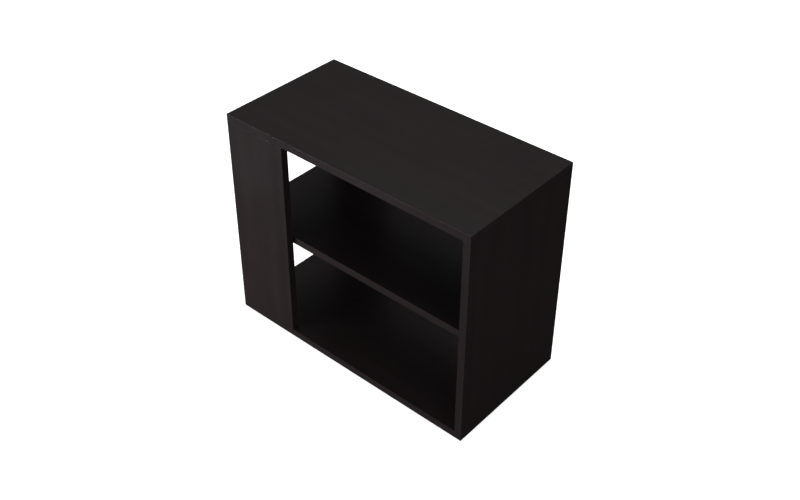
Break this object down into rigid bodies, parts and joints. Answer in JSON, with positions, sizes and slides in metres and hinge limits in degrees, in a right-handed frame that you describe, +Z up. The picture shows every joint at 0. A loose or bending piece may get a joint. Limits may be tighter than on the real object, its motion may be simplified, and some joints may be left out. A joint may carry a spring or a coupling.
{
  "type": "lift top coffee table",
  "caption": "Small black open-shelf coffee table with a mid shelf, quarter-width panels at one end, and a top that rises and comes forward on swinging arms.",
  "frame": {"origin": "centre of the footprint, on the floor", "axes": "+Z up; the long side runs along X, with the closed end at +X and the open end at -X; the front, over which the top comes forward, faces -Y"},
  "size_m": [0.6, 0.3, 0.486],
  "materials": {
    "black_board": "black fine-grained melamine face on particleboard, satin",
    "black_steel": "black powder coat, fine texture",
    "zinc_steel": "bright zinc plated",
    "zinc_casting": "as cast zinc, dull",
    "beech": "bare turned beech",
    "rubber": "matte",
    "glide_plastic": "moulded, matte"
  },
  "bodies": {
    "carcass": {"bottom_panel": "black_board", "end_panel": "black_board", "front_panel": "black_board", "rear_panel": "black_board", "mid_shelf": "black_board", "glide_front_left": "glide_plastic", "glide_front_right": "glide_plastic", "glide_rear_left": "glide_plastic", "glide_rear_right": "glide_plastic", "carcass_screw_end_1": "zinc_steel", "carcass_screw_end_2": "zinc_steel", "carcass_screw_front_1": "zinc_steel", "carcass_screw_front_2": "zinc_steel", "carcass_screw_rear_1": "zinc_steel", "carcass_screw_rear_2": "zinc_steel", "cam_end_front": "zinc_casting", "cam_end_rear": "zinc_casting", "cam_front": "zinc_casting", "cam_rear": "zinc_casting", "cam_bolt_end_front": "zinc_steel", "cam_bolt_end_rear": "zinc_steel", "cam_bolt_front": "zinc_steel", "cam_bolt_rear": "zinc_steel", "dowel_end_front": "beech", "dowel_end_rear": "beech", "dowel_front": "beech", "dowel_rear": "beech", "buffer_end_front": "rubber", "buffer_end_rear": "rubber", "buffer_front": "rubber", "buffer_rear": "rubber", "rail_left": "black_steel", "rail_right": "black_steel", "rail_screw_left_front": "zinc_steel", "rail_screw_left_rear": "zinc_steel", "rail_screw_right_front": "zinc_steel", "rail_screw_right_rear": "zinc_steel", "lower_pivot_pin_left": "zinc_steel", "lower_pivot_pin_right": "zinc_steel", "upper_pivot_pin_left": "zinc_steel", "upper_pivot_pin_right": "zinc_steel", "stop_pin_left": "zinc_steel", "stop_pin_right": "zinc_steel"},
    "lower_arms": {"lower_arm_left": "black_steel", "lower_arm_right": "black_steel", "sync_bar": "black_steel"},
    "upper_arms": {"upper_arm_left": "black_steel", "upper_arm_right": "black_steel"},
    "top": {"top_panel": "black_board", "top_bracket_left": "black_steel", "top_bracket_right": "black_steel", "bracket_screw_left_front": "zinc_steel", "bracket_screw_left_rear": "zinc_steel", "bracket_screw_right_front": "zinc_steel", "bracket_screw_right_rear": "zinc_steel", "lower_arm_pin_left": "zinc_steel", "lower_arm_pin_right": "zinc_steel", "upper_arm_pin_left": "zinc_steel", "upper_arm_pin_right": "zinc_steel"}
  },
  "joints": [
    {"name": "lift", "type": "hinge", "parent": "carcass", "child": "lower_arms", "pos_m": [0, -0.06, 0.434], "axis": [1, 0, 0], "range_deg": [0, 100]},
    {"name": "top_level", "type": "hinge", "parent": "lower_arms", "child": "top", "pos_m": [0, 0.09, 0.434], "axis": [1, 0, 0], "range_deg": [-100, 0]},
    {"name": "upper_arm_swing", "type": "hinge", "parent": "carcass", "child": "upper_arms", "pos_m": [0, -0.09277, 0.45694], "axis": [1, 0, 0], "range_deg": [0, 100]}
  ],
  "couplings": [
    {"joint": "top_level", "follows": "lift", "ratio": -1},
    {"joint": "upper_arm_swing", "follows": "lift", "ratio": 1}
  ]
}
